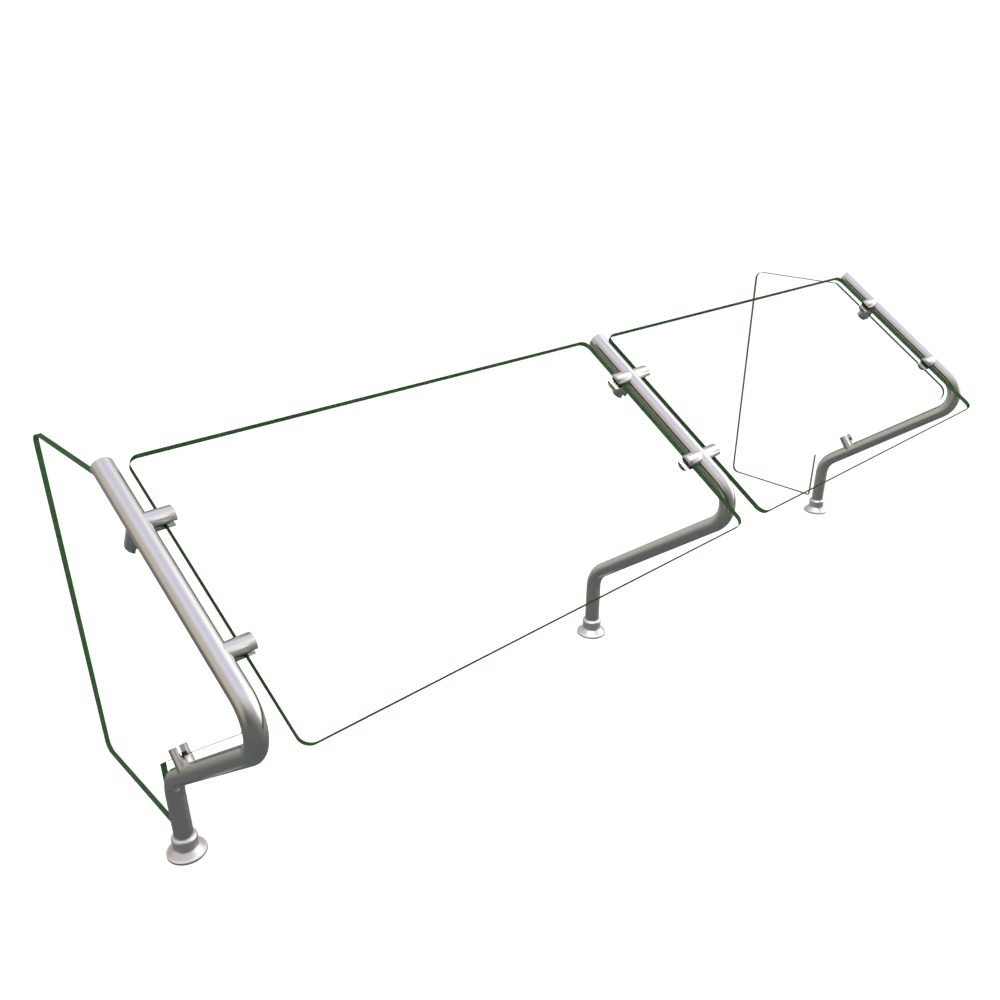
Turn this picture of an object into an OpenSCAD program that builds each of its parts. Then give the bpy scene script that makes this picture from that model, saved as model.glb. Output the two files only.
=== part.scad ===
// Countertop glass food guard: three bent tube posts carry two sloping front panels and
// two end panels in slotted round clamps. X runs along the counter, -Y faces the customer,
// Z is up, and the origin is under the middle post, on the counter.

/* [Posts] */
// Distance between neighbouring post axes
post_pitch = 804; // [500:1:1200]
// Outer diameter of the post tube
tube_od = 25.4; // [25:0.1:26]
// Wall of the post tube
tube_wall = 1.5; // [1.2:0.1:2]
// Height where the leg and arm centre lines meet
knee_z = 123; // [115:1:140]
// How far the nose stands in front of the leg
nose_reach = 289; // [270:1:310]
// Height where the arm and slope centre lines meet
nose_z = 341.5; // [330:0.5:355]
// How far the tip stands behind the leg
tip_back = 22.1; // [15:0.1:40]
// Height of the tip of the centre line
tip_z = 542.8; // [530:0.1:560]
// Centre line radius of the knee bend
knee_r = 50; // [40:1:60]
// Centre line radius of the nose bend
nose_r = 45; // [35:1:50]
// Thickness of the cap on the tip of the tube
cap_t = 2; // [1:0.5:3]

/* [Glass] */
// Thickness of every panel
glass_t = 8; // [6:0.5:9.5]
// Gap from a post axis to a front panel's side edge
side_gap = 25.3; // [25:0.1:28]
// Gap from the tip of the tube to a front panel's top edge, along the slope
top_gap = 0.5; // [0:0.1:10]
// How far a front panel hangs past the nose, along the slope
nose_overhang = 16.1; // [5:0.1:25]
// Corner radius of the front panels
front_corner_r = 15; // [5:1:25]
// Gap from the post centre line to an end panel's edge
end_gap = 22.7; // [22:0.1:24]
// Height of an end panel's bottom edge
end_bottom_z = 32.7; // [31:0.1:40]
// Height of an end panel's top edge
end_top_z = 525.9; // [500:0.1:530]
// How far an end panel reaches behind the leg
end_back = 236.5; // [180:0.5:300]
// Corner radius of the end panels' free corners
end_corner_r = 15; // [5:1:25]
// Radius of an end panel's inside corner at the nose
end_nose_r = 20; // [10:1:22]
// Radius of an end panel's corners beside the leg
end_leg_r = 2; // [1:0.5:4]

/* [Clamps] */
// Diameter of a clamp stud
stud_d = 24; // [20:0.5:24.5]
// How far a clamp's jaws reach over the edge of the glass
grip = 12.8; // [9:0.1:16]
// Distance from the nose to the upper clamps, along the slope
upper_s = 283.1; // [260:0.1:300]
// Distance from the nose to the lower clamps, along the slope
lower_s = 109.4; // [100:0.1:150]
// Distance from the knee to the arm clamps, along the arm
arm_s = 77; // [60:1:120]
// Thickness of the rubber sleeve that lines a slot
liner_t = 0.8; // [0.5:0.1:1.5]
// Clearance between the glass and its sleeve
liner_gap = 0.3; // [0.2:0.05:0.5]
// How far a sleeve stands up its slot from the slot's floor
liner_reach = 5; // [3:0.5:8]
// Thread diameter of the clamp screws
screw_d = 5; // [4:0.5:5]
// Head diameter of the clamp screws
screw_head_d = 8.5; // [7:0.5:9]
// Head height of the clamp screws
screw_head_h = 3.5; // [2.5:0.5:4]
// Outer diameter of the threaded inserts in the tube
insert_d = 7; // [6.5:0.5:7.5]

/* [Feet] */
// Diameter of a foot cover's flange
flange_d = 52.5; // [50:0.5:60]
// Height of a foot cover above the counter
cover_h = 30; // [28:1:32]
// Diameter of the bead round the top of a foot cover
bead_d = 34.2; // [33.5:0.1:35]
// Diameter of the neck below the bead
neck_d = 32.8; // [32.5:0.1:33.2]
// Thickness of the gasket under a foot cover
gasket_t = 0.8; // [0.5:0.1:1]
// Radial clearance of a foot cover on its leg
cover_fit = 0.1; // [0.05:0.05:0.3]
// Diameter of the flange inside a foot cover
base_d = 42; // [38:1:43]
// Thickness of the flange inside a foot cover
base_t = 3; // [2:0.5:3]
// Length of the spigot that holds the tube
spigot_h = 26; // [20:1:35]
// Tapping diameter of the counter bolt thread
bolt_hole_d = 10.2; // [8.5:0.1:14]

/* [Hidden] */
// Play that keeps two seated pieces from sharing a face
eps = 0.05;
// Play round a screw, and round its head
screw_play = 0.1;
head_play = 0.2;
// How far a cut runs past the face it opens
over = 1;
// How far straights run into bends, and how much thinner the bends are
lap = 0.3;
neck_in = 0.2;
// Facet counts of holes, round parts and bends
hole_fn = 48;
round_fn = 96;
bend_fn = 192;
tube_r = tube_od / 2;
bore_r = tube_r - tube_wall;
// The clamp screws' inner end, and the ends of their threaded inserts, from the axis
screw_reach = 5.5;
insert_inner = 4.6;
insert_outer = 12.1;
// Width of the screws' hexagon sockets, as a share of the thread
socket_share = 0.8;
// Half the gap left in the mitre between two studs
mitre_gap = 0.1;

// Profile plane of a post: first number is Y, second is Z
FOOT = [0, 0];
KNEE = [0, knee_z];
NOSE = [-nose_reach, nose_z];
TIP = [tip_back, tip_z];

function unit(v) = v / norm(v);
function heading(v) = atan2(v.y, v.x);
function left_of(v) = [-v.y, v.x];
// Where the line through p along u meets the line through q along v
function meet(p, u, q, v) = p + u * ((q - p) * left_of(v)) / (u * left_of(v));

UP = [0, 1];
ARM = unit(NOSE - KNEE);
SLOPE = unit(TIP - NOSE);
arm_len = norm(NOSE - KNEE);
slope_len = norm(TIP - NOSE);
OUT = left_of(SLOPE);
ARM_OUT = -left_of(ARM);
// Tangent lengths of the two bends
knee_t = knee_r * tan(acos(UP * ARM) / 2);
nose_t = nose_r * tan(acos(ARM * SLOPE) / 2);

slot_w = glass_t + 2 * (liner_t + liner_gap);

// Section of a foot cover: flared flange, neck and rounded bead, hollow over the inner
// flange and grooved for an O ring
flange_top_z = 3;
flare_r = 11;
flare_z = 14.3;
flare_from = 260;
flare_to = 180;
bead_z = 23.5;
bead_round_r = 5.3;
rim_edge = 0.5;
flange_play = 0.7;
groove_r = 1.6;
groove_z = 19;
cover_bore_r = tube_r + cover_fit;
cavity_r = base_d / 2 + flange_play;
cavity_z = base_t + flange_play;
flare_centre = [neck_d / 2 + flare_r, flare_z];
bead_centre = [bead_d / 2 - bead_round_r, cover_h - bead_round_r];
bead_to = acos((cover_bore_r + rim_edge - bead_centre.x) / bead_round_r);

POSTS = ["left", "middle", "right"];

// Which way a clamp points from its post: along the counter, back under the slope, or
// up from the arm
RIGHT = "right";
LEFT = "left";
UNDER = "under";
ABOVE_ARM = "above_arm";

// Each clamp: name, post (-1, 0 or 1), which way it points, distance along its tube,
// and the sides on which a neighbour meets it in a mitre
CLAMPS = [
    ["left_upper", -1, RIGHT, upper_s, [-1]],
    ["left_lower", -1, RIGHT, lower_s, []],
    ["left_end", -1, UNDER, upper_s, [1]],
    ["left_arm", -1, ABOVE_ARM, arm_s, []],
    ["middle_upper_a", 0, LEFT, upper_s, [1]],
    ["middle_upper_b", 0, RIGHT, upper_s, [-1]],
    ["middle_lower_a", 0, LEFT, lower_s, []],
    ["middle_lower_b", 0, RIGHT, lower_s, []],
    ["middle_spare", 0, UNDER, upper_s, [-1, 1]],
    ["right_upper", 1, LEFT, upper_s, [1]],
    ["right_lower", 1, LEFT, lower_s, []],
    ["right_end", 1, UNDER, upper_s, [-1]],
    ["right_arm", 1, ABOVE_ARM, arm_s, []]
];
// From the post axis to the glass edge in a clamp, to the slot's floor, and to its end
function edge_of(c) = c[2] == RIGHT || c[2] == LEFT ? side_gap : end_gap;
function floor_of(c) = edge_of(c) - liner_t - liner_gap;
function end_of(c) = edge_of(c) + grip;
function clamps_on(side) = [for (c = CLAMPS) if (c[1] == side) c];

// Stands the profile plane up across the counter, on one post
module on_post(side) {
    translate([side * post_pitch, 0, 0])
        rotate([90, 0, 90])
            children();
}

// Puts the origin at a point of the profile plane with +X along a heading
module along(p, dir) {
    translate([p.x, p.y, 0])
        rotate([0, 0, heading(dir)])
            children();
}

// A straight round bar from p, along dir
module bar(p, dir, r, length) {
    along(p, dir)
        rotate([0, 90, 0])
            cylinder(r = r, h = length, $fn = round_fn);
}

// A bend of centre line radius bend_r at a corner, from heading a to heading b
module elbow(corner, a, b, r, bend_r) {
    turn = acos(a * b);
    side = sign(a * -left_of(b));
    start = corner - a * bend_r * tan(turn / 2);
    centre = start + left_of(a) * bend_r * side;
    translate([centre.x, centre.y, 0])
        rotate([0, 0, heading(start - centre) + (side > 0 ? 0 : -turn)])
            rotate_extrude(angle = turn, $fn = bend_fn)
                translate([bend_r, 0])
                    circle(r = r, $fn = round_fn);
}

// The post's centre line swept by a circle, with run_out added past both ends. The
// straights lap into the bends, which neck in a little, as they do on a bent tube.
module swept(r, run_out) {
    bar(FOOT + UP * (base_t - run_out), UP, r, knee_z - knee_t - base_t + run_out + lap);
    elbow(KNEE, UP, ARM, r - neck_in, knee_r);
    bar(KNEE + ARM * (knee_t - lap), ARM, r, arm_len - knee_t - nose_t + 2 * lap);
    elbow(NOSE, ARM, SLOPE, r - neck_in, nose_r);
    bar(NOSE + SLOPE * (nose_t - lap), SLOPE, r, slope_len - nose_t - cap_t + run_out + lap);
}

// Moves to a clamp: +Z along the clamp, X along its tube, Y across its slot
module at_clamp(c) {
    on_post(c[1]) {
        if (c[2] == RIGHT)
            along(NOSE + SLOPE * c[3], SLOPE)
                children();
        if (c[2] == LEFT)
            along(NOSE + SLOPE * c[3], SLOPE)
                rotate([180, 0, 0])
                    children();
        if (c[2] == UNDER)
            along(NOSE + SLOPE * c[3], SLOPE)
                rotate([90, 0, 0])
                    children();
        if (c[2] == ABOVE_ARM)
            along(KNEE + ARM * c[3], ARM)
                rotate([90, 0, 0])
                    children();
    }
}

module post(side) {
    color("lightsteelblue")
        difference() {
            on_post(side)
                swept(tube_r, 0);
            on_post(side)
                swept(bore_r, over);
            for (c = clamps_on(side))
                at_clamp(c)
                    cylinder(d = insert_d, h = tube_od, $fn = hole_fn);
        }
}

module tip_cap(side) {
    color("gainsboro")
        on_post(side) {
            bar(TIP - SLOPE * cap_t, SLOPE, tube_r, cap_t);
            bar(TIP - SLOPE * (cap_t + tube_r), SLOPE, bore_r, tube_r);
        }
}

module base_flange(side) {
    color("silver")
        translate([side * post_pitch, 0, 0])
            difference() {
                union() {
                    cylinder(d = base_d, h = base_t, $fn = round_fn);
                    cylinder(r = bore_r, h = base_t + spigot_h, $fn = round_fn);
                }
                translate([0, 0, -over])
                    cylinder(d = bolt_hole_d, h = base_t + spigot_h + 2 * over, $fn = hole_fn);
            }
}

// Points of an arc round c, from angle a to angle b
function arc(c, r, a, b, steps) =
    [for (i = [0:steps]) c + r * [cos(a + (b - a) * i / steps), sin(a + (b - a) * i / steps)]];

COVER_OUTLINE = concat(
    [[cover_bore_r, gasket_t], [flange_d / 2, gasket_t], [flange_d / 2, flange_top_z - rim_edge],
     [flange_d / 2 - rim_edge, flange_top_z]],
    arc(flare_centre, flare_r, flare_from, flare_to, 16),
    [[neck_d / 2, bead_z], [bead_d / 2, bead_z]],
    arc(bead_centre, bead_round_r, 0, bead_to, 12),
    [[cover_bore_r, cover_h - rim_edge]]
);

module foot_cover(side) {
    color("gainsboro")
        translate([side * post_pitch, 0, 0])
            rotate_extrude($fn = bend_fn)
                difference() {
                    polygon(COVER_OUTLINE);
                    square([cavity_r, cavity_z]);
                    translate([tube_r + groove_r, groove_z])
                        square(2 * groove_r + 2 * eps, center = true);
                }
}

module foot_gasket(side) {
    color("black")
        translate([side * post_pitch, 0, 0])
            difference() {
                cylinder(d = flange_d, h = gasket_t, $fn = round_fn);
                translate([0, 0, -over])
                    cylinder(r = cavity_r, h = gasket_t + 2 * over, $fn = round_fn);
            }
}

module foot_oring(side) {
    color("black")
        translate([side * post_pitch, 0, groove_z])
            rotate_extrude($fn = round_fn)
                translate([tube_r + groove_r + eps / 2, 0])
                    circle(r = groove_r - eps / 2, $fn = hole_fn);
}

// A round stud saddled on the tube, with a slot down its outer half
module clamp(c) {
    floor = floor_of(c);
    color("lightsteelblue")
        at_clamp(c)
            difference() {
                cylinder(d = stud_d, h = end_of(c), $fn = round_fn);
                rotate([0, 90, 0])
                    cylinder(r = tube_r, h = 2 * stud_d, center = true, $fn = round_fn);
                translate([-stud_d, -slot_w / 2, floor])
                    cube([2 * stud_d, slot_w, end_of(c)]);
                cylinder(d = screw_d + screw_play, h = end_of(c), $fn = hole_fn);
                translate([0, 0, floor - screw_head_h])
                    cylinder(d = screw_head_d + head_play, h = end_of(c), $fn = hole_fn);
                for (s = c[4])
                    mitre(s);
            }
}

// Half space beyond the 45 degree plane where two neighbouring studs meet
module mitre(s) {
    translate([-stud_d, -s * mitre_gap, 0])
        rotate([s > 0 ? 45 : 135, 0, 0])
            translate([0, 0, s > 0 ? -2 * stud_d : 0])
                cube([2 * stud_d, 3 * stud_d, 2 * stud_d]);
}

// A shallow U of rubber in the bottom of a slot, round the edge of the glass
module sleeve(c) {
    floor = floor_of(c);
    color("black")
        at_clamp(c)
            difference() {
                intersection() {
                    cylinder(d = stud_d, h = end_of(c), $fn = round_fn);
                    translate([-stud_d, -slot_w / 2, floor])
                        cube([2 * stud_d, slot_w, liner_reach]);
                }
                translate([-stud_d, -slot_w / 2 + liner_t, floor + liner_t])
                    cube([2 * stud_d, slot_w - 2 * liner_t, liner_reach]);
            }
}

// Cap screws that sit under the sleeves and hold the clamps on a post
module clamp_screws(side) {
    color("dimgray")
        for (c = clamps_on(side))
            at_clamp(c)
                difference() {
                    union() {
                        translate([0, 0, screw_reach])
                            cylinder(d = screw_d, h = floor_of(c) - screw_reach - eps, $fn = hole_fn);
                        translate([0, 0, floor_of(c) - screw_head_h])
                            cylinder(d = screw_head_d, h = screw_head_h - eps, $fn = hole_fn);
                    }
                    translate([0, 0, floor_of(c) - screw_head_h / 2])
                        cylinder(d = screw_d * socket_share, h = screw_head_h, $fn = 6);
                }
}

// Threaded inserts in the tube wall that the clamp screws turn into
module clamp_inserts(side) {
    color("darkgoldenrod")
        for (c = clamps_on(side))
            at_clamp(c)
                translate([0, 0, insert_inner])
                    difference() {
                        cylinder(
                            d = insert_d - 2 * eps,
                            h = insert_outer - insert_inner,
                            $fn = hole_fn
                        );
                        translate([0, 0, -over])
                            cylinder(d = screw_d + screw_play, h = insert_outer, $fn = hole_fn);
                    }
}

// Corner helpers for an outline given as [point, radius] pairs in anticlockwise order
function corner_cut(a, p, b, r) =
    r / tan(acos(unit(a - p) * unit(b - p)) / 2);
function corner_centre(a, p, b, r) =
    p + unit(unit(a - p) + unit(b - p)) * r / sin(acos(unit(a - p) * unit(b - p)) / 2);
function turns_left(a, p, b) = (p - a) * -left_of(b - p) > 0;

// A flat outline with true arcs on its corners, convex or hollow
module rounded_outline(corners) {
    n = len(corners);
    P = [for (c = corners) c[0]];
    R = [for (c = corners) c[1]];
    A = [for (i = [0:n - 1]) P[(i + n - 1) % n]];
    B = [for (i = [0:n - 1]) P[(i + 1) % n]];
    difference() {
        union() {
            polygon([
                for (i = [0:n - 1])
                    for (q = [A[i], B[i]])
                        P[i] + unit(q - P[i]) * corner_cut(A[i], P[i], B[i], R[i])
            ]);
            for (i = [0:n - 1])
                if (turns_left(A[i], P[i], B[i]))
                    translate(corner_centre(A[i], P[i], B[i], R[i]))
                        circle(r = R[i], $fn = round_fn);
        }
        for (i = [0:n - 1])
            if (!turns_left(A[i], P[i], B[i]))
                translate(corner_centre(A[i], P[i], B[i], R[i]))
                    circle(r = R[i], $fn = round_fn);
    }
}

// A sloping panel in the bay beside the middle post, on side -1 or 1
module front_panel(side) {
    low_x = side > 0 ? side_gap : side_gap - post_pitch;
    high_x = low_x + post_pitch - 2 * side_gap;
    low_s = -nose_overhang;
    high_s = slope_len - top_gap;
    color([0.75, 0.9, 0.82, 0.4])
        on_post(0)
            along(NOSE, SLOPE)
                rotate([90, 0, 0])
                    linear_extrude(glass_t, center = true)
                        rounded_outline([
                            [[low_s, low_x], front_corner_r],
                            [[high_s, low_x], front_corner_r],
                            [[high_s, high_x], front_corner_r],
                            [[low_s, high_x], front_corner_r]
                        ]);
}

// An upright panel that follows the inside of an end post
module end_panel(side) {
    edge_on_slope = NOSE - OUT * end_gap;
    edge_on_arm = KNEE + ARM_OUT * end_gap;
    color([0.75, 0.9, 0.82, 0.4])
        on_post(side)
            linear_extrude(glass_t, center = true)
                rounded_outline([
                    [[end_gap, end_bottom_z], end_leg_r],
                    [[end_back, end_bottom_z], end_corner_r],
                    [[end_back, end_top_z], end_corner_r],
                    [meet(edge_on_slope, SLOPE, [0, end_top_z], [1, 0]), end_corner_r],
                    [meet(edge_on_slope, SLOPE, edge_on_arm, ARM), end_nose_r],
                    [meet(edge_on_arm, ARM, [end_gap, 0], UP), end_leg_r]
                ]);
}

for (i = [0:2]) {
    side = i - 1;
    post(side);
    tip_cap(side);
    base_flange(side);
    foot_cover(side);
    foot_gasket(side);
    foot_oring(side);
    clamp_screws(side);
    clamp_inserts(side);
}
for (c = CLAMPS) {
    clamp(c);
    sleeve(c);
}
front_panel(-1);  // front_panel_left
front_panel(1);  // front_panel_right
end_panel(-1);  // end_panel_left
end_panel(1);  // end_panel_right
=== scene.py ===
"""Countertop glass food guard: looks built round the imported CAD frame. Metres, +Z up."""
import math

import bmesh
import bpy
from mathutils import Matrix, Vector


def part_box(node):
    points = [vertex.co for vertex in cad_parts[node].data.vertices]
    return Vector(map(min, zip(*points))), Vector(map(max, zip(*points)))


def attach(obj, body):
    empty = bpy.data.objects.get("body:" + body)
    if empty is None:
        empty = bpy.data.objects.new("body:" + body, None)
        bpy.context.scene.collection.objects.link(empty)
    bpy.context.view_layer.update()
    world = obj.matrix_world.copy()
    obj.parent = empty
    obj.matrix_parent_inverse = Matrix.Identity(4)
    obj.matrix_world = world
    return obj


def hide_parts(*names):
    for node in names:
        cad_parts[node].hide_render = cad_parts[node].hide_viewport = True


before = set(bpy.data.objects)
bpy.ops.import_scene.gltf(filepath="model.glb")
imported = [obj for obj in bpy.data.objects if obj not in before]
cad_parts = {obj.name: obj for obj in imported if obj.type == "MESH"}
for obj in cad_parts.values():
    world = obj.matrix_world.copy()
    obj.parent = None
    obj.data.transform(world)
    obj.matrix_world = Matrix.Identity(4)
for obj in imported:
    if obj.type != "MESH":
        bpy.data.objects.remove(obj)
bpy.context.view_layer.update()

# ---------------------------------------------------------------- sizes
MM = 0.001
SIDES = ("left", "middle", "right")
END_SIDES = ("left", "right")

# Centre line of a post in its own upright plane: first number is Y, second is Z
KNEE = Vector((0.0, 123 * MM))
NOSE = Vector((-289 * MM, 341.5 * MM))
TIP = Vector((22.1 * MM, 542.8 * MM))
KNEE_R = 50 * MM
NOSE_R = 45 * MM
CAP_T = 2 * MM
TUBE_WALL = 1.5 * MM
# Edges of a clamp farther than this from its tube are the jaws'
JAWS_FROM = 20 * MM
JAW_BEVEL = 0.25 * MM
PANEL_BEVEL = 0.3 * MM

# Mesh fineness
KNEE_STEPS = 30
NOSE_STEPS = 60
TUBE_PITCH = 12 * MM
# Lathe points nearer to the axis than this are one vertex
ON_AXIS = 1e-7
# Vertices of a CAD mesh closer than this are one
WELD = 2e-6
# Neighbouring faces of a CAD mesh within this angle are one flat face
FLAT_DEGREES = 0.5

UP = Vector((0.0, 1.0))
ARM = (NOSE - KNEE).normalized()
SLOPE = (TIP - NOSE).normalized()


def middle_of(node):
    lo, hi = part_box(node)
    return (lo + hi) / 2


POST_X = {side: middle_of(f"post_{side}").x for side in SIDES}
TUBE_R = (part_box("post_middle")[1].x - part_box("post_middle")[0].x) / 2
LEG_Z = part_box("post_middle")[0].z


# ---------------------------------------------------------------- mesh helpers
def new_object(name, bm, body, node, smooth_angle=35):
    """Turns a bmesh into an object that stands for a CAD node and moves with its body."""
    mesh = bpy.data.meshes.new(name)
    bmesh.ops.recalc_face_normals(bm, faces=bm.faces)
    bm.to_mesh(mesh)
    bm.free()
    obj = bpy.data.objects.new(name, mesh)
    bpy.context.scene.collection.objects.link(obj)
    mesh.shade_smooth()
    mesh.set_sharp_from_angle(angle=math.radians(smooth_angle))
    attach(obj, body)
    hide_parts(node)
    return obj


def dress(obj, *materials):
    """Gives an object its materials, in the order of its faces' material numbers."""
    kept = [face.material_index for face in obj.data.polygons]
    obj.data.materials.clear()
    for m in materials:
        obj.data.materials.append(m)
    obj.data.polygons.foreach_set("material_index", [min(k, len(materials) - 1) for k in kept])


def corner_arc(before, corner, after, radius, steps):
    """Points of the fillet at a corner of a centre line, with the end tangents' points."""
    a = (before - corner).normalized()
    b = (after - corner).normalized()
    half = math.acos(max(-1.0, min(1.0, a.dot(b)))) / 2
    centre = corner + (a + b).normalized() * radius / math.sin(half)
    start = corner + a * radius / math.tan(half) - centre
    end = corner + b * radius / math.tan(half) - centre
    turn = math.atan2(start.x * end.y - start.y * end.x, start.dot(end))
    out = []
    for i in range(steps + 1):
        t = turn * i / steps
        c, s = math.cos(t), math.sin(t)
        out.append(centre + Vector((start.x * c - start.y * s, start.x * s + start.y * c)))
    return out


def straight(a, b, pitch):
    """Points from a towards b, without b, about pitch apart."""
    n = max(1, round((b - a).length / pitch))
    return [a.lerp(b, i / n) for i in range(n)]


def post_line():
    """Centre line of a post from the foot of its leg to the seat of its tip cap."""
    knee = corner_arc(Vector((0, 0)), KNEE, NOSE, KNEE_R, KNEE_STEPS)
    nose = corner_arc(KNEE, NOSE, TIP, NOSE_R, NOSE_STEPS)
    top = TIP - SLOPE * CAP_T
    line = straight(Vector((0, LEG_Z)), knee[0], TUBE_PITCH) + knee
    line += straight(knee[-1], nose[0], TUBE_PITCH)[1:] + nose
    line += straight(nose[-1], top, TUBE_PITCH)[1:] + [top]
    return line


def swept_ring(point, tangent, radius, x, sides):
    """Corners of one ring of a post's tube, square to its centre line."""
    side = Vector((1, 0, 0))
    along = Vector((0, tangent.x, tangent.y))
    across = along.cross(side)
    centre = Vector((x, point.x, point.y))
    turn = 2 * math.pi / sides
    return [
        centre + side * radius * math.cos(i * turn) + across * radius * math.sin(i * turn)
        for i in range(sides)
    ]


def swept_tube(x, sides=72):
    """The bent tube: outer skin, bore and both end rings, one closed mesh with a grain map."""
    line = post_line()
    bm = bmesh.new()
    skins = []
    for radius in (TUBE_R, TUBE_R - TUBE_WALL):
        rings = []
        for i, p in enumerate(line):
            tangent = (line[min(i + 1, len(line) - 1)] - line[max(i - 1, 0)]).normalized()
            rings.append([bm.verts.new(v) for v in swept_ring(p, tangent, radius, x, sides)])
        skins.append(rings)
    lengths = [0.0]
    for a, b in zip(line, line[1:]):
        lengths.append(lengths[-1] + (b - a).length)
    layer = bm.loops.layers.uv.new("grain")
    around = 2 * math.pi * TUBE_R / sides

    def quad(verts, uvs):
        face = bm.faces.new(verts)
        for loop, uv in zip(face.loops, uvs):
            loop[layer].uv = uv

    for rings in skins:
        for i in range(len(rings) - 1):
            for j in range(sides):
                k = (j + 1) % sides
                uvs = (
                    (j * around, lengths[i]),
                    ((j + 1) * around, lengths[i]),
                    ((j + 1) * around, lengths[i + 1]),
                    (j * around, lengths[i + 1]),
                )
                quad((rings[i][j], rings[i][k], rings[i + 1][k], rings[i + 1][j]), uvs)
    for end in (0, -1):
        outer, inner = skins[0][end], skins[1][end]
        for j in range(sides):
            k = (j + 1) % sides
            uvs = (
                (j * around, 0),
                ((j + 1) * around, 0),
                ((j + 1) * around, TUBE_WALL),
                (j * around, TUBE_WALL),
            )
            quad((outer[j], outer[k], inner[k], inner[j]), uvs)
    return bm


def fillet(centre, radius, start, end, steps):
    """(radius, height) points of an arc in a lathe section, angles in degrees."""
    out = []
    for i in range(steps + 1):
        a = math.radians(start + (end - start) * i / steps)
        out.append((centre[0] + radius * math.cos(a), centre[1] + radius * math.sin(a)))
    return out


def lathe(section, origin, axis, sides=128):
    """Turns a closed (radius, height) section round an axis. The grain map runs round it."""
    axis = axis.normalized()
    side = axis.orthogonal().normalized()
    across = axis.cross(side)
    bm = bmesh.new()
    rings = []
    for radius, height in section:
        centre = origin + axis * height
        if radius < ON_AXIS:
            rings.append([bm.verts.new(centre)] * sides)
            continue
        turn = 2 * math.pi / sides
        rings.append([
            bm.verts.new(
                centre + side * radius * math.cos(j * turn) + across * radius * math.sin(j * turn)
            )
            for j in range(sides)
        ])
    layer = bm.loops.layers.uv.new("grain")
    run = [0.0]
    closed = section + [section[0]]
    for a, b in zip(closed, closed[1:]):
        run.append(run[-1] + math.dist(a, b))
    widest = max(r for r, _ in section)
    around = 2 * math.pi * widest / sides
    for i in range(len(section)):
        a, b = rings[i], rings[(i + 1) % len(section)]
        for j in range(sides):
            k = (j + 1) % sides
            corners = [
                (a[j], (run[i], j * around)),
                (a[k], (run[i], (j + 1) * around)),
                (b[k], (run[i + 1], (j + 1) * around)),
                (b[j], (run[i + 1], j * around)),
            ]
            kept = []
            for vert, uv in corners:
                if all(vert is not other for other, _ in kept):
                    kept.append((vert, uv))
            if len(kept) < 3:
                continue
            face = bm.faces.new([vert for vert, _ in kept])
            for loop, (_, uv) in zip(face.loops, kept):
                loop[layer].uv = uv
    return bm


def welded_copy(node):
    """The CAD node's own mesh with its split vertices joined and its flat faces whole."""
    bm = bmesh.new()
    bm.from_mesh(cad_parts[node].data)
    bmesh.ops.remove_doubles(bm, verts=bm.verts, dist=WELD)
    bmesh.ops.dissolve_limit(
        bm, angle_limit=math.radians(FLAT_DEGREES), verts=bm.verts, edges=bm.edges, delimit=set()
    )
    return bm


# ---------------------------------------------------------------- node helpers
def new_material(name):
    """An empty material: itself, its node tree and its output node."""
    mat = bpy.data.materials.new(name)
    mat.use_nodes = True
    tree = mat.node_tree
    tree.nodes.clear()
    out = tree.nodes.new("ShaderNodeOutputMaterial")
    return mat, tree, out


def add(tree, kind, inputs=None, **props):
    """A new shader node with its properties and plain input values."""
    node = tree.nodes.new(kind)
    for key, value in props.items():
        setattr(node, key, value)
    for key, value in (inputs or {}).items():
        node.inputs[key].default_value = value
    return node


def ramp(tree, source, stops):
    """A colour ramp with (position, grey or colour) stops."""
    node = tree.nodes.new("ShaderNodeValToRGB")
    elements = node.color_ramp.elements
    while len(elements) < len(stops):
        elements.new(0.5)
    for element, (position, colour) in zip(elements, stops):
        element.position = position
        if isinstance(colour, float):
            colour = (colour, colour, colour)
        element.color = (*colour, 1.0)
    tree.links.new(source, node.inputs["Fac"])
    return node.outputs["Color"]


def spread(tree, source, low, high):
    """Maps 0..1 to low..high."""
    node = add(tree, "ShaderNodeMapRange", {"To Min": low, "To Max": high})
    tree.links.new(source, node.inputs["Value"])
    return node.outputs["Result"]


def lighten(tree, share, under, over):
    """The lighter of a colour socket and a plain colour, as far as share says."""
    node = add(tree, "ShaderNodeMix", data_type="RGBA", blend_type="LIGHTEN")
    first, second = [s for s in node.inputs if s.type == "RGBA"]
    tree.links.new(share, node.inputs["Factor"])
    tree.links.new(under, first)
    second.default_value = (*over, 1.0)
    return next(s for s in node.outputs if s.type == "RGBA")


# ---------------------------------------------------------------- materials
# How far the brushing and the blotches move the roughness of steel, either way
STREAK_SWING = 0.06
BLOTCH_SWING = 0.03
# Tone of the darkest streaks, as a share of the metal's own
STREAK_TONE = 0.93


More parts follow.
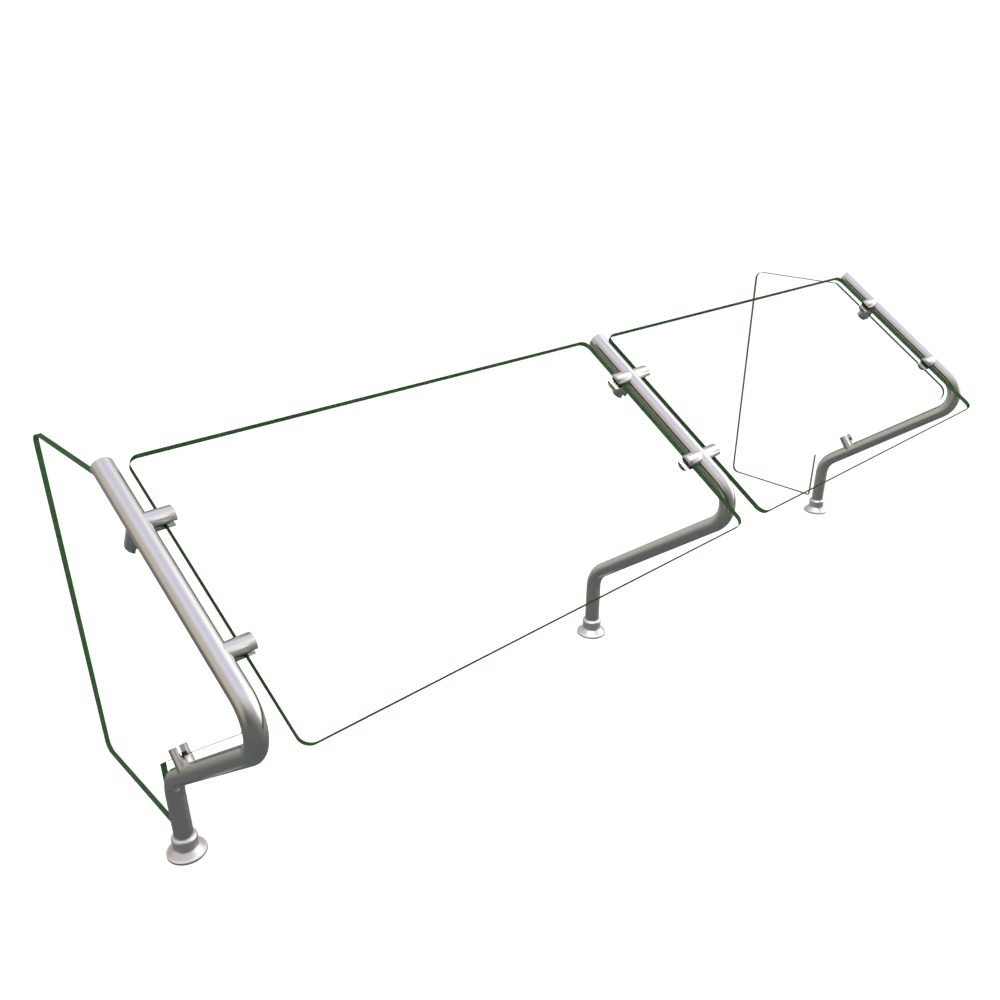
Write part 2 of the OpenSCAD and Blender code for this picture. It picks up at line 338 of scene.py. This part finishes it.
def stainless(name, colour, roughness, grain, coords="grain"):
    """Satin stainless. grain is the streak count per metre across and along the brushing."""
    mat, tree, out = new_material(name)
    link = tree.links.new
    bsdf = add(tree, "ShaderNodeBsdfPrincipled", {"Metallic": 1.0})
    link(bsdf.outputs["BSDF"], out.inputs["Surface"])
    if coords == "grain":
        place = add(tree, "ShaderNodeUVMap", uv_map="grain").outputs["UV"]
    else:
        place = add(tree, "ShaderNodeTexCoord").outputs["Object"]
    scale = add(tree, "ShaderNodeMapping")
    scale.inputs["Scale"].default_value = grain
    link(place, scale.inputs["Vector"])
    streaks = add(tree, "ShaderNodeTexNoise", {"Scale": 1.0, "Detail": 4.0, "Roughness": 0.6})
    link(scale.outputs["Vector"], streaks.inputs["Vector"])
    blotch = add(tree, "ShaderNodeTexNoise", {"Scale": 9.0, "Detail": 3.0, "Roughness": 0.5})
    link(add(tree, "ShaderNodeTexCoord").outputs["Object"], blotch.inputs["Vector"])
    both = add(tree, "ShaderNodeMath", operation="ADD")
    link(spread(tree, streaks.outputs["Fac"], -STREAK_SWING, STREAK_SWING), both.inputs[0])
    low, high = roughness - BLOTCH_SWING, roughness + BLOTCH_SWING
    link(spread(tree, blotch.outputs["Fac"], low, high), both.inputs[1])
    link(both.outputs["Value"], bsdf.inputs["Roughness"])
    dark = tuple(c * STREAK_TONE for c in colour)
    link(ramp(tree, streaks.outputs["Fac"], [(0.3, dark), (0.7, colour)]), bsdf.inputs["Base Color"])
    bump = add(tree, "ShaderNodeBump", {"Strength": 0.05, "Distance": 0.0002})
    link(streaks.outputs["Fac"], bump.inputs["Height"])
    link(bump.outputs["Normal"], bsdf.inputs["Normal"])
    return mat


def clear_glass():
    """Clear float glass. Lamps shine through it, and it keeps a faint wiped look."""
    mat, tree, out = new_material("clear_glass")
    link = tree.links.new
    glass = add(tree, "ShaderNodeBsdfPrincipled", {
        "Base Color": (0.985, 1.0, 0.99, 1.0), "IOR": 1.01, "Transmission Weight": 1.0,
        "Coat Weight": 0.03, "Coat IOR": 1.5, "Coat Roughness": 0.02,
    })
    place = add(tree, "ShaderNodeTexCoord").outputs["Object"]
    wiped = add(tree, "ShaderNodeTexNoise", {"Scale": 6.0, "Detail": 3.0})
    link(place, wiped.inputs["Vector"])
    link(spread(tree, wiped.outputs["Fac"], 0.0, 0.01), glass.inputs["Roughness"])
    lamp_pass = add(tree, "ShaderNodeBsdfTransparent", {"Color": (0.97, 0.99, 0.975, 1.0)})
    light = add(tree, "ShaderNodeLightPath")
    mix = add(tree, "ShaderNodeMixShader")
    link(light.outputs["Is Shadow Ray"], mix.inputs["Fac"])
    link(glass.outputs["BSDF"], mix.inputs[1])
    link(lamp_pass.outputs["BSDF"], mix.inputs[2])
    link(mix.outputs["Shader"], out.inputs["Surface"])
    return mat


def glass_edge():
    """The ground edge of float glass, seen end on: dark bottle green."""
    mat, tree, out = new_material("glass_edge")
    link = tree.links.new
    bsdf = add(tree, "ShaderNodeBsdfPrincipled", {"IOR": 1.5, "Specular IOR Level": 0.05})
    link(bsdf.outputs["BSDF"], out.inputs["Surface"])
    place = add(tree, "ShaderNodeTexCoord").outputs["Object"]
    depth = add(tree, "ShaderNodeTexNoise", {"Scale": 14.0, "Detail": 4.0})
    link(place, depth.inputs["Vector"])
    greens = [(0.3, (0.019, 0.055, 0.016)), (0.7, (0.024, 0.067, 0.021))]
    link(ramp(tree, depth.outputs["Fac"], greens), bsdf.inputs["Base Color"])
    link(spread(tree, depth.outputs["Fac"], 0.45, 0.6), bsdf.inputs["Roughness"])
    return mat


def rubber():
    """Matt black rubber with a fine grain."""
    mat, tree, out = new_material("black_rubber")
    link = tree.links.new
    bsdf = add(tree, "ShaderNodeBsdfPrincipled", {"IOR": 1.45})
    link(bsdf.outputs["BSDF"], out.inputs["Surface"])
    place = add(tree, "ShaderNodeTexCoord").outputs["Object"]
    fine = add(tree, "ShaderNodeTexNoise", {"Scale": 900.0, "Detail": 4.0})
    link(place, fine.inputs["Vector"])
    blacks = [(0.3, (0.006, 0.006, 0.007)), (0.7, (0.014, 0.014, 0.016))]
    link(ramp(tree, fine.outputs["Fac"], blacks), bsdf.inputs["Base Color"])
    link(spread(tree, fine.outputs["Fac"], 0.55, 0.75), bsdf.inputs["Roughness"])
    bump = add(tree, "ShaderNodeBump", {"Strength": 0.2, "Distance": 0.0001})
    link(fine.outputs["Fac"], bump.inputs["Height"])
    link(bump.outputs["Normal"], bsdf.inputs["Normal"])
    return mat


STEEL = (0.70, 0.70, 0.70)
# Lighter, slightly lavender copy of the steel colour: painted sheen. It stands in for the brighter
# highlights that circumferential turning spreads over the foot covers.
SHEEN_PAINTED_STEEL = (0.78, 0.77, 0.79)
DULL_STEEL = (0.6, 0.6, 0.6)
YELLOW_BRASS = (0.72, 0.52, 0.24)
# Streaks per metre across and along the brushing
BRUSHED = (2500, 30, 1)
FINE_EVEN = (2400, 2400, 2400)
COARSE_EVEN = (900, 900, 900)
POST_STEEL = stainless("satin_stainless_posts", STEEL, 0.21, BRUSHED)
CLAMP_STEEL = stainless("satin_stainless_clamps", STEEL, 0.15, FINE_EVEN, "object")
# The foot covers use the lighter steel colour, a painted sheen on the same stainless.
FOOT_STEEL = stainless("satin_stainless_feet", SHEEN_PAINTED_STEEL, 0.36, BRUSHED)
CAP_STEEL = stainless("satin_stainless_caps", STEEL, 0.21, BRUSHED)
PLAIN_STEEL = stainless("turned_steel", DULL_STEEL, 0.35, COARSE_EVEN, "object")
BRASS = stainless("insert_brass", YELLOW_BRASS, 0.3, COARSE_EVEN, "object")
GLASS = clear_glass()
GLASS_EDGE = glass_edge()
RUBBER = rubber()

# CAD pieces that keep their own shape, by the start of their names
KEPT_SHAPES = {
    "base_flange": PLAIN_STEEL,
    "foot_gasket": RUBBER,
    "foot_oring": RUBBER,
    "sleeve": RUBBER,
    "clamp_screws": PLAIN_STEEL,
    "clamp_inserts": BRASS,
}
for node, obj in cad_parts.items():
    for prefix, material in KEPT_SHAPES.items():
        if node.startswith(prefix):
            dress(obj, material)
            break


# ---------------------------------------------------------------- pieces
def build_posts():
    """The three bent tubes."""
    for side in SIDES:
        tube = new_object(f"tube_{side}", swept_tube(POST_X[side]), "posts", f"post_{side}")
        dress(tube, POST_STEEL)


def build_tip_caps():
    """A flat lid welded on the tube, with a soft outer edge and a spigot down the bore."""
    edge = 0.9 * MM
    weld_groove = 0.15 * MM
    spigot_play = 0.05 * MM
    spigot_foot = -12 * MM
    spigot_r = TUBE_R - TUBE_WALL - spigot_play
    section = [(0, spigot_foot), (spigot_r, spigot_foot), (spigot_r, 0)]
    section += [(TUBE_R - weld_groove, 0), (TUBE_R, weld_groove)]
    section += fillet((TUBE_R - edge, CAP_T - edge), edge, 0, 90, 8)
    section += [(0, CAP_T)]
    slope = Vector((0, SLOPE.x, SLOPE.y))
    top = TIP - SLOPE * CAP_T
    for side in SIDES:
        origin = Vector((POST_X[side], top.x, top.y))
        bm = lathe(section, origin, slope, 96)
        cap = new_object(f"cap_{side}", bm, "posts", f"tip_cap_{side}")
        dress(cap, CAP_STEEL)


def cover_section(node):
    """Rim, cone, fillet, neck and rounded bead of a foot cover, from its CAD box."""
    lo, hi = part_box(node)
    flange_r = (hi.x - lo.x) / 2
    fit, edge, soft = 0.1 * MM, 0.5 * MM, 0.2 * MM
    bore = TUBE_R + fit
    neck, bead, bead_r, bead_h = 16.4 * MM, 17.1 * MM, 5.3 * MM, 6.5 * MM
    cover_h = 29.2 * MM
    top = lo.z + cover_h
    bead_centre = (bead - bead_r, top - bead_r)
    bead_end = math.degrees(math.acos((bore + edge - bead_centre[0]) / bead_r))
    rim_top, rim_r, rim_from = 3 * MM, 8 * MM, 250
    cone, fillet_r = 222, 5 * MM
    rim_centre = (
        flange_r - edge - rim_r * math.cos(math.radians(rim_from)),
        rim_top - rim_r * math.sin(math.radians(rim_from)),
    )
    tilt = math.radians(cone)
    cone_low = (rim_centre[0] + rim_r * math.cos(tilt), rim_centre[1] + rim_r * math.sin(tilt))
    cone_high = neck + fillet_r * (1 + math.cos(tilt))
    fillet_z = cone_low[1] + (cone_low[0] - cone_high) / math.tan(tilt - math.pi)
    fillet_z -= fillet_r * math.sin(tilt)
    inner, roof = 21.7 * MM, 3.7 * MM
    section = [(bore, roof), (inner, roof), (inner, lo.z), (flange_r - soft, lo.z)]
    section += [(flange_r, lo.z + soft)]
    section += fillet((flange_r - edge, rim_top - edge), edge, 0, 80, 5)
    section += fillet(rim_centre, rim_r, rim_from, cone, 10)
    section += fillet((neck + fillet_r, fillet_z), fillet_r, cone, 180, 14)
    section += [(neck, top - bead_h), (bead - soft, top - bead_h), (bead, top - bead_h + soft)]
    section += fillet(bead_centre, bead_r, 0, bead_end, 20)
    section += [(bore, top - edge)]
    return section


def build_foot_covers():
    """The three turned covers, each on its own body."""
    for side in SIDES:
        node = f"foot_cover_{side}"
        origin = Vector((POST_X[side], 0, 0))
        bm = lathe(cover_section(node), origin, Vector((0, 0, 1)))
        cover = new_object(f"cover_{side}", bm, node, node, 40)
        dress(cover, FOOT_STEEL)


def off_tube(point, post_x):
    """Distance of a point from the nearer straight centre line of its post."""
    flat = Vector((point.y, point.z))
    gaps = []
    for start, along in ((NOSE, SLOPE), (KNEE, ARM)):
        away = flat - start
        gaps.append(math.hypot(away.x * along.y - away.y * along.x, point.x - post_x))
    return min(gaps)


def build_clamps():
    """Clamp studs with softly broken edges at the jaws."""
    sharp = math.radians(50)
    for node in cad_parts:
        parts = node.split("_")
        if parts[0] != "clamp" or parts[1] not in SIDES:
            continue
        bm = welded_copy(node)
        jaw_edges = [
            e for e in bm.edges
            if len(e.link_faces) == 2
            and e.calc_face_angle(0) > sharp
            and min(off_tube(v.co, POST_X[parts[1]]) for v in e.verts) > JAWS_FROM
        ]
        bmesh.ops.bevel(
            bm, geom=jaw_edges, offset=JAW_BEVEL, offset_type="OFFSET", segments=2, affect="EDGES"
        )
        stud = new_object("stud_" + "_".join(parts[1:]), bm, "posts", node, 30)
        dress(stud, CLAMP_STEEL)


def build_panel(node, normal):
    """A panel with ground edges: its two faces are glass and everything round them is edge."""
    bm = welded_copy(node)
    along, across = 0.99, 0.5

    def facing(face):
        return abs(face.normal.dot(normal))

    face_edges = [
        e for e in bm.edges
        if len(e.link_faces) == 2
        and max(facing(f) for f in e.link_faces) > along
        and min(facing(f) for f in e.link_faces) < across
    ]
    bmesh.ops.bevel(
        bm, geom=face_edges, offset=PANEL_BEVEL, offset_type="OFFSET", segments=1, affect="EDGES"
    )
    for face in bm.faces:
        face.material_index = 0 if facing(face) > along else 1
    panel = new_object(f"glass_{node}", bm, node, node, 25)
    dress(panel, GLASS, GLASS_EDGE)


build_posts()
build_tip_caps()
build_foot_covers()
build_clamps()
for side in END_SIDES:
    build_panel(f"front_panel_{side}", Vector((0, -SLOPE.y, SLOPE.x)))
    build_panel(f"end_panel_{side}", Vector((1, 0, 0)))


# ---------------------------------------------------------------- studio
def build_floor():
    """A pale floor. Metal reflects the dim room below it, as it would on a raised table."""
    half_width = 30
    below_feet = 0.2 * MM
    bm = bmesh.new()
    bmesh.ops.create_grid(bm, x_segments=1, y_segments=1, size=half_width)
    mesh = bpy.data.meshes.new("floor")
    bm.to_mesh(mesh)
    bm.free()
    floor = bpy.data.objects.new("floor", mesh)
    bpy.context.scene.collection.objects.link(floor)
    mat, tree, out = new_material("pale_floor")
    pale = add(tree, "ShaderNodeBsdfDiffuse", {"Color": (0.93, 0.93, 0.93, 1)})
    seen_through = add(tree, "ShaderNodeBsdfTransparent")
    light = add(tree, "ShaderNodeLightPath")
    mix = add(tree, "ShaderNodeMixShader")
    tree.links.new(light.outputs["Glossy Depth"], mix.inputs["Fac"])
    tree.links.new(pale.outputs["BSDF"], mix.inputs[1])
    tree.links.new(seen_through.outputs["BSDF"], mix.inputs[2])
    tree.links.new(mix.outputs["Shader"], out.inputs["Surface"])
    dress(floor, mat)
    floor.location.z = -below_feet


def direction(azimuth, elevation):
    """Unit vector for an azimuth from +X towards +Y and an elevation, in degrees."""
    a, e = math.radians(azimuth), math.radians(elevation)
    return Vector((math.cos(a) * math.cos(e), math.sin(a) * math.cos(e), math.sin(e)))


def soft_patch(tree, ray, toward, inner, outer):
    """1 within inner degrees of a direction, easing to 0 at outer degrees."""
    dot = add(tree, "ShaderNodeVectorMath", operation="DOT_PRODUCT")
    dot.inputs[1].default_value = toward
    tree.links.new(ray, dot.inputs[0])
    ease = add(tree, "ShaderNodeMapRange", interpolation_type="SMOOTHSTEP")
    ease.inputs["From Min"].default_value = math.cos(math.radians(outer))
    ease.inputs["From Max"].default_value = math.cos(math.radians(inner))
    tree.links.new(dot.outputs["Value"], ease.inputs["Value"])
    return ease.outputs["Result"]


def height_share(elevation):
    """Place of an elevation in degrees on a ramp from straight down to straight up."""
    return (math.sin(math.radians(elevation)) + 1) / 2


# What metal mirrors of the studio, by elevation in degrees
NEAR_GROUND = (0.14, 0.15, 0.15)
FAR_GROUND = (0.17, 0.17, 0.15)
WALL_FOOT = (0.13, 0.125, 0.11)
WALL = (0.23, 0.22, 0.20)
COVE = (0.70, 0.68, 0.68)
CEILING = (1.0, 0.98, 1.08)
OVERHEAD = (0.84, 0.82, 0.96)
STUDIO = {
    -55: NEAR_GROUND, -20: FAR_GROUND, 5: WALL_FOOT, 22: WALL, 36: COVE, 62: CEILING, 90: OVERHEAD,
}

# Bright windows of the studio: azimuth and elevation of the middle, half width of the bright
# part and of all of it, in degrees, and colour
WINDOWS = {
    "bright window by the right end": (-22, 24, 20, 47, (1.62, 1.55, 1.50)),
    "wide skylight over the right end": (8, 58, 25, 115, (0.65, 0.62, 0.59)),
    "skylight behind the guard": (62, 50, 50, 100, (0.58, 0.55, 0.52)),
    "low warm window by the left end": (165, 22, 12, 48, (0.72, 0.63, 0.54)),
}


def build_room():
    """White all round to the eye and for soft light. What metal mirrors is a studio: dim grey
    ground, warm walls, a lavender ceiling and bright windows."""
    world = bpy.data.worlds.new("studio")
    bpy.context.scene.world = world
    world.use_nodes = True
    tree = world.node_tree
    tree.nodes.clear()
    link = tree.links.new
    out = tree.nodes.new("ShaderNodeOutputWorld")
    white = add(tree, "ShaderNodeBackground", {"Color": (1, 1, 1, 1), "Strength": 1.15})
    ray = add(tree, "ShaderNodeTexCoord").outputs["Generated"]
    split = add(tree, "ShaderNodeSeparateXYZ")
    link(ray, split.inputs["Vector"])
    height = spread(tree, split.outputs["Z"], 0.0, 1.0)
    height.node.inputs["From Min"].default_value = -1.0
    shown = ramp(tree, height, [(height_share(e), tone) for e, tone in STUDIO.items()])
    for azimuth, elevation, inner, outer, colour in WINDOWS.values():
        share = soft_patch(tree, ray, direction(azimuth, elevation), inner, outer)
        shown = lighten(tree, share, shown, colour)
    mirrored = add(tree, "ShaderNodeBackground", {"Strength": 1.0})
    link(shown, mirrored.inputs["Color"])
    light = add(tree, "ShaderNodeLightPath")
    bounced = add(tree, "ShaderNodeMath", operation="GREATER_THAN")
    bounced.inputs[1].default_value = 0.5  # between no mirror bounce and one
    link(light.outputs["Glossy Depth"], bounced.inputs[0])
    mix = add(tree, "ShaderNodeMixShader")
    link(bounced.outputs["Value"], mix.inputs["Fac"])
    link(white.outputs["Background"], mix.inputs[1])
    link(mirrored.outputs["Background"], mix.inputs[2])
    link(mix.outputs["Shader"], out.inputs["Surface"])


def build_lamp(name, place, target, size, power, colour):
    """A soft rectangular lamp that metal doesn't mirror."""
    data = bpy.data.lights.new(name, "AREA")
    data.shape = "RECTANGLE"
    data.size, data.size_y = size
    data.energy = power
    data.color = colour
    lamp = bpy.data.objects.new(name, data)
    lamp.location = place
    lamp.visible_glossy = False
    lamp.rotation_mode = "QUATERNION"
    lamp.rotation_quaternion = (Vector(target) - Vector(place)).to_track_quat("-Z", "Y")
    bpy.context.scene.collection.objects.link(lamp)


def build_camera():
    """The photograph's viewing angle: over the left end, 27 degrees down."""
    place = (-1.1297, -0.9533, 0.9094)
    yaw, pitch = math.radians(46.72), math.radians(26.62)
    data = bpy.data.cameras.new("camera")
    data.sensor_width = 36
    data.lens = 33.24
    data.shift_x = -0.0005
    data.shift_y = 0.0483
    cam = bpy.data.objects.new("camera", data)
    cam.location = place
    level = math.cos(pitch)
    look = Vector((math.cos(yaw) * level, math.sin(yaw) * level, -math.sin(pitch)))
    cam.rotation_mode = "QUATERNION"
    cam.rotation_quaternion = look.to_track_quat("-Z", "Y")
    bpy.context.scene.collection.objects.link(cam)
    bpy.context.scene.camera = cam


build_floor()
build_room()
build_lamp("key", (-1.5, -1.5, 3.0), (0, 0, 0.3), (2.5, 2.5), 60, (1, 0.98, 0.95))
build_camera()
bpy.context.scene.view_settings.view_transform = "Standard"
